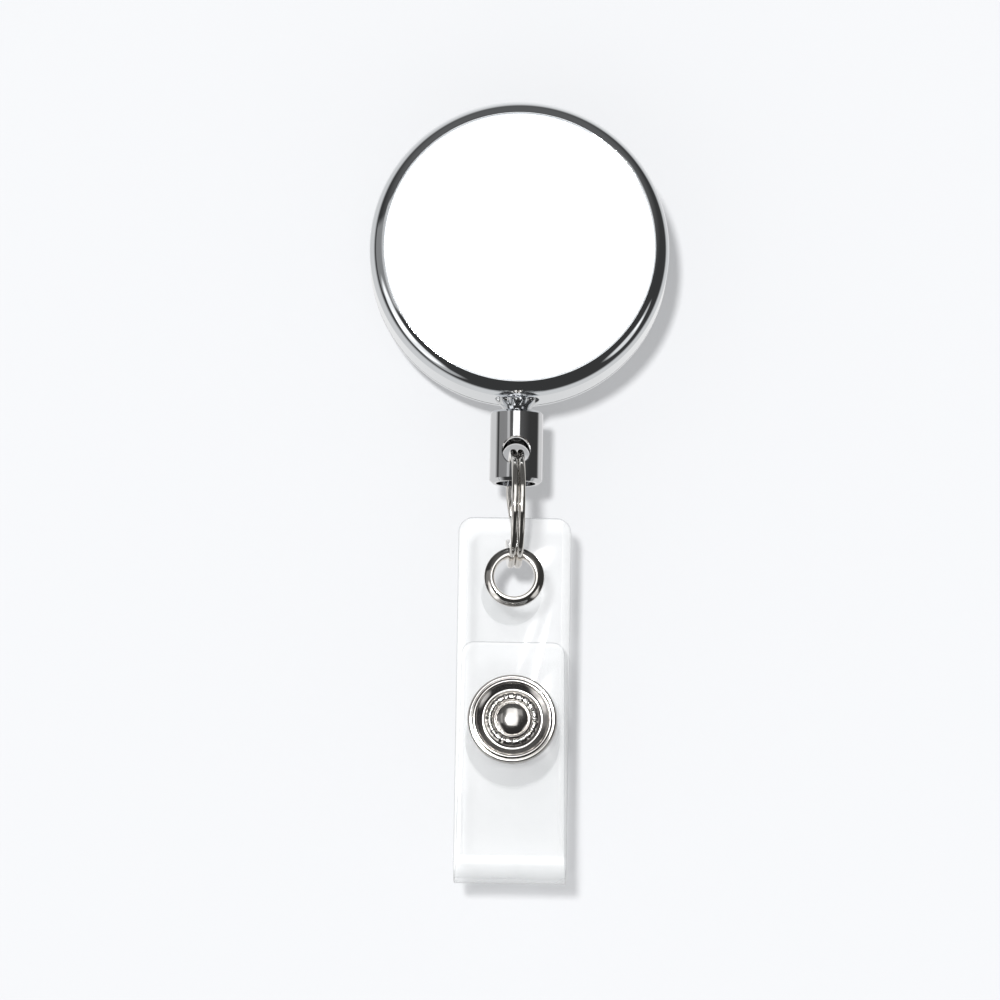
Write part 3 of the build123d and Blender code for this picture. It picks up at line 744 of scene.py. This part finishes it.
def make_eyelet():
    """A rolled eyelet: its crown stands near the throat and slopes away to the rim."""
    throat = 2.12 * MM
    tube = 2.42 * MM
    washer_t = high("eyelet_washer").y - low("eyelet_washer").y
    rear = STRAP_REAR_Y + washer_t
    crown = smooth_path(
        [(throat, STRAP_FRONT_Y + 0.1 * MM), (throat + 0.02 * MM, STRAP_FRONT_Y - 0.22 * MM),
         (throat + 0.11 * MM, STRAP_FRONT_Y - 0.44 * MM), (throat + 0.26 * MM, STRAP_FRONT_Y - 0.495 * MM),
         (throat + 0.44 * MM, STRAP_FRONT_Y - 0.48 * MM), (throat + 0.68 * MM, STRAP_FRONT_Y - 0.36 * MM),
         (EYELET_R - 0.13 * MM, STRAP_FRONT_Y - 0.16 * MM),
         (EYELET_R, STRAP_FRONT_Y - 0.03 * MM), (EYELET_R - 0.04 * MM, STRAP_FRONT_Y + 0.005 * MM)],
        8,
    )
    curl = smooth_path(
        [(tube, rear - 0.02 * MM), (2.9 * MM, rear), (2.93 * MM, rear + 0.1 * MM),
         (2.6 * MM, rear + 0.25 * MM), (2.3 * MM, rear + 0.2 * MM), (throat, rear - 0.1 * MM)],
        8,
    )
    outline = crown + [Vector((tube, STRAP_FRONT_Y + 0.005 * MM))] + curl
    eyelet = lathe("rolled_eyelet", outline, Vector((0, 0, EYELET_Z)), Y_AXIS, X_AXIS, 160, 50)
    eyelet.data.materials.append(ring_nickel)
    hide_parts("eyelet")
    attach(eyelet, "strap")


make_eyelet()


def make_snap_cap():
    """The snap's cap: two rolled ridges, a crimped ring and a dome."""
    face = FLAP_FRONT_Y
    top = low("snap_cap").y
    outline = smooth_path(
        [(0, top), (0.6 * MM, top + 0.03 * MM), (1.1 * MM, top + 0.13 * MM), (1.5 * MM, top + 0.3 * MM),
         (1.7 * MM, top + 0.46 * MM), (1.8 * MM, face - 0.3 * MM), (1.95 * MM, face - 0.33 * MM),
         (2.2 * MM, face - 0.5 * MM), (2.5 * MM, face - 0.52 * MM), (2.78 * MM, face - 0.38 * MM),
         (2.95 * MM, face - 0.19 * MM), (3.12 * MM, face - 0.13 * MM), (3.35 * MM, face - 0.2 * MM),
         (3.72 * MM, face - 0.44 * MM), (3.9 * MM, face - 0.6 * MM), (4.05 * MM, face - 0.65 * MM),
         (4.2 * MM, face - 0.59 * MM), (4.3 * MM, face - 0.54 * MM), (4.44 * MM, face - 0.57 * MM),
         (4.58 * MM, face - 0.52 * MM), (4.71 * MM, face - 0.3 * MM), (SNAP_R, face - 0.05 * MM),
         (SNAP_R - 0.06 * MM, face - 0.002 * MM)],
        7,
    )
    shank_r = 1.45 * MM
    inner = high("snap_cap").y
    outline += [Vector((shank_r, face - 0.002 * MM)), Vector((shank_r, inner)), Vector((0, inner))]
    centre = Vector((0, 0, SNAP_Z))
    cap = lathe("snap_cap_dome", outline, centre, Y_AXIS, X_AXIS, 288, 50)
    for vert in cap.data.vertices:
        across = Vector((vert.co.x, vert.co.z - SNAP_Z))
        if 1.9 * MM < across.length < 2.95 * MM and vert.co.y < face - 0.1 * MM:
            turn = math.atan2(across.y, across.x)
            share = ease(1 - abs(across.length - 2.42 * MM) / (0.52 * MM))
            crimp = 0.6 * math.sin(21 * turn + 1.3 * math.sin(3 * turn)) + 0.4 * math.sin(37 * turn + 0.7)
            vert.co.y += 0.07 * MM * share * crimp
    cap.data.materials.append(snap_nickel)
    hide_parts("snap_cap")
    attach(cap, "flap")


make_snap_cap()


# ------------------------------------------------------------------ belt clip


def strip_sections(line, width, thickness, edge, corner):
    """Sections of a bent strip along a line in the YZ plane. Its end narrows to rounded corners."""
    sections = []
    travelled = [0.0]
    for a, b in zip(line, line[1:]):
        travelled.append(travelled[-1] + (b - a).length)
    for i, place in enumerate(line):
        way = (line[min(i + 1, len(line) - 1)] - line[max(i - 1, 0)]).normalized()
        out = Vector((way.y, -way.x))
        from_end = min(travelled[i], travelled[-1] - travelled[i])
        short = max(corner - from_end, 0)
        half = width / 2 - (corner - math.sqrt(max(corner**2 - short**2, 0)))
        rim = min(edge, thickness / 2 - 1e-6)
        outline = rounded(
            rectangle(half, thickness / 2),
            rim,
            steps=4,
            hold=0.6,
        )
        sections.append(
            [Vector((p.x, place.x + out.x * p.y, place.y + out.y * p.y)) for p in outline]
        )
    return sections


def make_belt_clip():
    """The belt clip: one strip of spring steel, from the riveted base over the bend to the tip."""
    base_y = CLIP_T / 2
    bend_z = low("clip_bend").z
    base_end_z = low("clip_base").z
    outer_y = high("clip_bend").y
    bend_r = (outer_y - CLIP_T) / 2
    bend_y = outer_y / 2
    arm_y = outer_y - CLIP_T / 2
    tip_z = low("clip_arm").z
    pinch_z = tip_z + 3.0 * MM
    pinch_y = low("clip_arm").y + CLIP_T / 2
    tip_y = high("clip_arm").y - CLIP_T / 2
    corner = 2.0 * MM
    end_steps = 14
    line = []
    for k in range(end_steps):
        line.append(Vector((base_y, base_end_z + corner * (1 - math.cos(math.pi / 2 * k / end_steps)))))
    steps = 30
    for k in range(steps + 1):
        line.append(Vector((base_y, base_end_z + corner + (bend_z - base_end_z - corner) * k / steps)))
    for k in range(1, 32):
        turn = math.pi * k / 32
        line.append(Vector((bend_y - bend_r * math.cos(turn), bend_z + bend_r * math.sin(turn))))
    arm = smooth_path(
        [(arm_y, bend_z), (arm_y - 0.02 * MM, bend_z - 1.6 * MM), (arm_y - 0.5 * MM, bend_z - 5.5 * MM),
         ((arm_y + pinch_y) / 2, (bend_z - 2 * MM + pinch_z) / 2), (pinch_y + 0.25 * MM, pinch_z + 3.2 * MM),
         (pinch_y, pinch_z + 0.5 * MM), (pinch_y + 0.35 * MM, pinch_z - 0.7 * MM),
         (tip_y - 0.95 * MM, tip_z + 1.0 * MM), (tip_y - 0.05 * MM, tip_z + 0.12 * MM)],
        12,
    )
    line += arm
    clip = sweep("belt_clip", strip_sections(line, CLIP_W, CLIP_T, 0.14 * MM, corner), smooth_angle=40)
    clip.data.materials.append(clip_steel)
    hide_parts("clip_base", "clip_bend", "clip_arm")
    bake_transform(clip)


make_belt_clip()


# ------------------------------------------------------------------ cord


def make_cord():
    """The cord from the winding to the stop in the barrel."""
    lead_top = Vector((high("cord_lead").x - CORD_R, CORD_Y, high("cord_lead").z - CORD_R))
    corner = Vector((0, CORD_Y, high("outlet_bush").z + 0.5 * MM))
    turn_in = smooth_path([lead_top, lead_top.lerp(corner, 0.75), corner + Vector((0.15 * MM, 0, -0.35 * MM)),
                           Vector((0, CORD_Y, corner.z - 1.1 * MM))], 8)
    stop_z = middle("cord_stop").z
    straight = 24
    line = turn_in[:-1]
    for k in range(straight + 1):
        line.append(Vector((0, CORD_Y, turn_in[-1].z + (stop_z - turn_in[-1].z) * k / straight)))
    sections = []
    count = 20
    for i, place in enumerate(line):
        way = (line[min(i + 1, len(line) - 1)] - line[max(i - 1, 0)]).normalized()
        side = way.cross(Y_AXIS).normalized()
        ring = []
        for k in range(count):
            turn = 2 * math.pi * k / count
            ring.append(place + side * CORD_R * math.cos(turn) + Y_AXIS * CORD_R * math.sin(turn))
        sections.append(ring)
    cord = sweep("cord_line", sections, smooth_angle=50)
    cord.data.materials.append(cord_nylon)
    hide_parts("cord_lead", "cord_tail")
    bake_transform(cord)


make_cord()


# ------------------------------------------------------------------ outlet collar


def make_collar():
    """The cord outlet: a crimped flare under the case, with flutes that run out at its neck."""
    bore = 0.65 * MM
    shank = 1.35 * MM
    top_z = high("outlet_bush").z
    rim_z = BUSH_END_Z + 1.35 * MM
    outline = smooth_path(
        [(2.36 * MM, rim_z), (2.42 * MM, rim_z - 0.16 * MM), (2.3 * MM, rim_z - 0.38 * MM),
         (1.95 * MM, rim_z - 0.66 * MM), (1.62 * MM, rim_z - 0.92 * MM), (1.42 * MM, rim_z - 1.18 * MM),
         (1.36 * MM, BUSH_END_Z + 0.06 * MM), (1.28 * MM, BUSH_END_Z)],
        6,
    )
    outline += [Vector((0.9 * MM, BUSH_END_Z)), Vector((bore, BUSH_END_Z + 0.25 * MM)),
                Vector((bore, top_z - 0.25 * MM)), Vector((0.9 * MM, top_z)), Vector((shank, top_z)),
                Vector((shank, rim_z + 0.02 * MM)), Vector((2.2 * MM, rim_z + 0.02 * MM))]
    collar = lathe("outlet_collar", outline, Vector((0, CORD_Y, 0)), Z_AXIS, X_AXIS, 288, 40)
    for vert in collar.data.vertices:
        across = Vector((vert.co.x, vert.co.y - CORD_Y))
        reach = ease((across.length - 1.3 * MM) / (1.0 * MM))
        if reach > 0 and vert.co.z < rim_z + 0.01 * MM:
            turn = math.atan2(across.y, across.x)
            flute = 1 - 0.075 * reach * (1 - math.cos(11 * turn + 0.9))
            vert.co.x = across.x * flute
            vert.co.y = CORD_Y + across.y * flute
            vert.co.z += 0.07 * MM * reach * math.cos(11 * turn + 0.9)
    collar.data.materials.append(collar_chrome)
    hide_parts("outlet_bush")
    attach(collar, "case")


make_collar()


# ------------------------------------------------------------------ label


def make_label():
    """The label disc: a flat print under a clear film with a softly turned edge."""
    edge = 0.1 * MM
    outline = rounded(
        [(0, DISC_FRONT_Y), (DISC_R, DISC_FRONT_Y), (DISC_R, DISC_BACK_Y), (0, DISC_BACK_Y)],
        [0, edge, edge / 2, 0],
        steps=6,
    )
    disc = lathe("label_disc", outline, Vector((0, 0, 0)), Y_AXIS, X_AXIS, 192, 50)
    disc.data.materials.append(label_white)
    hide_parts("insert_disc")
    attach(disc, "case")


make_label()


# ------------------------------------------------------------------ stage, light and camera


PALE = (0.930, 0.939, 0.956)
BACKDROP_HALF = 90 * MM
BACKDROP_Y = high("clip_arm").y + 0.9 * MM
BACKDROP_Z = -26 * MM
FLOOR_Z = FOLD_BOTTOM_Z - 1.1
FLOOR_HALF = 4


def self_lit(n, colour, level):
    """Matt paper with an even light of its own, so that a shadow on it keeps one tone."""
    paper = n.add("ShaderNodeBsdfDiffuse")
    paper.inputs["Color"].default_value = (*colour, 1)
    glow = n.add("ShaderNodeEmission")
    glow.inputs["Color"].default_value = (*PALE, 1)
    glow.inputs["Strength"].default_value = level
    lit = n.add("ShaderNodeAddShader")
    n.put(lit.inputs[0], paper.outputs[0])
    n.put(lit.inputs[1], glow.outputs[0])
    return lit.outputs[0]


def make_backdrop():
    """A pale sheet close behind the reel that takes its shadow, clear when seen from behind and
    faded out at its edge."""
    centre = Vector((0, BACKDROP_Y, BACKDROP_Z))
    bm = bmesh.new()
    bmesh.ops.create_grid(bm, x_segments=1, y_segments=1, size=1)
    for vert in bm.verts:
        vert.co = centre + Vector((vert.co.x, 0, vert.co.y)) * BACKDROP_HALF
    mesh = bpy.data.meshes.new("backdrop")
    bm.to_mesh(mesh)
    bm.free()
    sheet = new_object("backdrop", mesh)
    if sheet.data.polygons[0].normal.y > 0:
        sheet.data.flip_normals()
    n = Nodes("backdrop")
    paper = self_lit(n, (0.455, 0.459, 0.467), 0.282)
    clear = n.add("ShaderNodeBsdfTransparent")
    offset = n.add("ShaderNodeMapping", Vector=n.place)
    offset.inputs["Location"].default_value = -centre
    reach = n.length(offset.outputs[0])
    fade = n.between(reach, BACKDROP_HALF * 0.8, BACKDROP_HALF * 0.98, 0, 1)
    behind = n.add("ShaderNodeNewGeometry").outputs["Backfacing"]
    mix = n.add("ShaderNodeMixShader", Fac=n.maths("MAXIMUM", fade, behind))
    n.put(mix.inputs[1], paper)
    n.put(mix.inputs[2], clear.outputs[0])
    sheet.visible_glossy = False
    sheet.data.materials.append(n.finish(mix.outputs[0]))


def make_floor():
    """A pale floor below the fully drawn cord."""
    mesh = bpy.data.meshes.new("floor")
    bm = bmesh.new()
    bmesh.ops.create_grid(bm, x_segments=1, y_segments=1, size=FLOOR_HALF)
    for vert in bm.verts:
        vert.co.z = FLOOR_Z
    bm.to_mesh(mesh)
    bm.free()
    floor = new_object("floor", mesh)
    n = Nodes("floor")
    floor.data.materials.append(n.finish(self_lit(n, (0.80, 0.80, 0.81), 0.35)))
    floor.visible_glossy = False


make_backdrop()
make_floor()


def direction(azimuth, elevation):
    """Unit vector towards an azimuth, in degrees from -Y towards +X, and an elevation."""
    a, e = math.radians(azimuth), math.radians(elevation)
    return Vector((math.sin(a) * math.cos(e), -math.cos(a) * math.cos(e), math.sin(e)))


def make_world():
    """Studio light in three parts: an even light for matt surfaces; for mirrors a dark room with
    soft boxes in front and a white table behind the reel; and a pale tone that is seen itself."""
    world = bpy.data.worlds.new("studio")
    bpy.context.scene.world = world
    world.use_nodes = True
    tree = world.node_tree
    tree.nodes.clear()

    def add(kind):
        return tree.nodes.new(kind)

    def join(a, b):
        tree.links.new(a, b)

    way = add("ShaderNodeTexCoord").outputs["Generated"]

    def lobe(towards, inner, outer, level):
        """Light from a round patch: full inside the inner angle, none outside the outer one."""
        dot = add("ShaderNodeVectorMath")
        dot.operation = "DOT_PRODUCT"
        join(way, dot.inputs[0])
        dot.inputs[1].default_value = towards
        ramp = add("ShaderNodeMapRange")
        ramp.interpolation_type = "SMOOTHSTEP"
        join(dot.outputs["Value"], ramp.inputs[0])
        ramp.inputs[1].default_value = math.cos(math.radians(outer))
        ramp.inputs[2].default_value = math.cos(math.radians(inner))
        ramp.inputs[3].default_value = 0
        ramp.inputs[4].default_value = level
        return ramp.outputs[0]

    def total(parts, start):
        """Adds several values to a starting number."""
        result = None
        for part in parts:
            node = add("ShaderNodeMath")
            node.operation = "ADD"
            node.inputs[1].default_value = start
            join(part, node.inputs[0])
            if result is not None:
                join(result, node.inputs[1])
            result = node.outputs[0]
        return result

    split = add("ShaderNodeSeparateXYZ")
    join(way, split.inputs[0])

    def band(value, start, end, soft):
        """1 between start and end of a value, falling to 0 over soft on each side."""
        sides = []
        for edge, far in ((start, start - soft), (end, end + soft)):
            ramp = add("ShaderNodeMapRange")
            ramp.interpolation_type = "SMOOTHSTEP"
            join(value, ramp.inputs[0])
            ramp.inputs[1].default_value = far
            ramp.inputs[2].default_value = edge
            sides.append(ramp.outputs[0])
        return product(*sides)

    def product(a, b):
        """Multiplies two values, the second of which may be a number."""
        node = add("ShaderNodeMath")
        node.operation = "MULTIPLY"
        join(a, node.inputs[0])
        if isinstance(b, float):
            node.inputs[1].default_value = b
        else:
            join(b, node.inputs[1])
        return node.outputs[0]

    patches = []
    for towards, inner, outer, level in PATCHES:
        patches.append(lobe(towards, inner, outer, level))
    ahead = band(split.outputs["Y"], -1.0, -0.2, 0.1)
    for sides, heights, soft, level in BOXES:
        across = band(split.outputs["X"], *sides, soft)
        upright = band(split.outputs["Z"], *heights, soft)
        patches.append(product(product(product(across, upright), ahead), level))
    mirror = add("ShaderNodeBackground")
    shade = add("ShaderNodeCombineColor")
    amount = total(patches, ROOM_LEVEL)
    for socket in shade.inputs:
        join(amount, socket)
    join(shade.outputs[0], mirror.inputs["Color"])
    even = add("ShaderNodeBackground")
    even.inputs["Color"].default_value = (0.98, 0.99, 1.0, 1)
    even.inputs["Strength"].default_value = EVEN_LEVEL
    seen = add("ShaderNodeBackground")
    seen.inputs["Color"].default_value = (*PALE, 1)
    rays = add("ShaderNodeLightPath")
    matt_or_mirror = add("ShaderNodeMixShader")
    join(rays.outputs["Is Glossy Ray"], matt_or_mirror.inputs[0])
    join(even.outputs[0], matt_or_mirror.inputs[1])
    join(mirror.outputs[0], matt_or_mirror.inputs[2])
    all_rays = add("ShaderNodeMixShader")
    join(rays.outputs["Is Camera Ray"], all_rays.inputs[0])
    join(matt_or_mirror.outputs[0], all_rays.inputs[1])
    join(seen.outputs[0], all_rays.inputs[2])
    join(all_rays.outputs[0], add("ShaderNodeOutputWorld").inputs["Surface"])


EVEN_LEVEL = 0.42
ROOM_LEVEL = 0.04
# Round patches: the way towards them, their full and faded radius in degrees, their level.
PATCHES = [
    (direction(188, 2), 66, 86, 0.60),  # the white table and wall behind the reel
    (direction(180, 28), 8, 45, 0.22),  # brighter towards the top
    (direction(0, 50), 25, 65, 0.07),  # the ceiling beside the camera
    (direction(-62, -17), 8, 17, 0.95),  # tall reflector on the left, curving downwards
    (direction(-62, -33), 10, 19, 0.9),
    (direction(-68, -50), 5, 15, 0.4),
    (direction(66, -30), 6, 15, 0.75),  # small reflector low on the right
    (direction(67, -18), 3, 9, 0.5),
]
# Soft boxes in front: the span of the direction's X and Z, the softness of its edge, the level.
BOXES = [
    ((-0.22, 0.21), (-0.20, 0.60), 0.05, 1.3),
    ((-0.62, -0.50), (-0.12, 0.36), 0.04, 0.42),
    ((-0.97, -0.66), (-0.14, 0.28), 0.08, 0.20),
    ((0.12, 0.52), (0.30, 0.57), 0.08, 0.40),
]
make_world()

KEY_ENERGY = 3.14
KEY_ANGLE = 5
KEY_WAY = direction(-7.5, 2)
# A long lens that stands below the reel and looks up at it.
CAMERA_PLACE = Vector((-4.2, -796, -143)) * MM
CAMERA_LENS = 270.2
CAMERA_PITCH = 8.36
CAMERA_YAW = -0.185
CAMERA_ROLL = 0.9


def make_key():
    """The key light, from beside the camera."""
    light = bpy.data.lights.new("key", "SUN")
    light.energy = KEY_ENERGY
    light.angle = math.radians(KEY_ANGLE)
    key = new_object("key", light)
    key.rotation_mode = "QUATERNION"
    key.rotation_quaternion = KEY_WAY.to_track_quat("Z", "Y")


def make_camera():
    """The camera, turned by its yaw, pitch and roll in degrees."""
    data = bpy.data.cameras.new("camera")
    data.sensor_width = 36
    data.lens = CAMERA_LENS
    data.clip_start = 0.01
    data.clip_end = 20
    camera = new_object("camera", data)
    camera.location = CAMERA_PLACE
    turn = (
        Matrix.Rotation(math.radians(CAMERA_YAW), 4, "Z")
        @ Matrix.Rotation(math.radians(90 + CAMERA_PITCH), 4, "X")
        @ Matrix.Rotation(math.radians(CAMERA_ROLL), 4, "Z")
    )
    camera.rotation_euler = turn.to_euler()
    bpy.context.scene.camera = camera


make_key()
make_camera()
bpy.context.scene.view_settings.view_transform = "Standard"
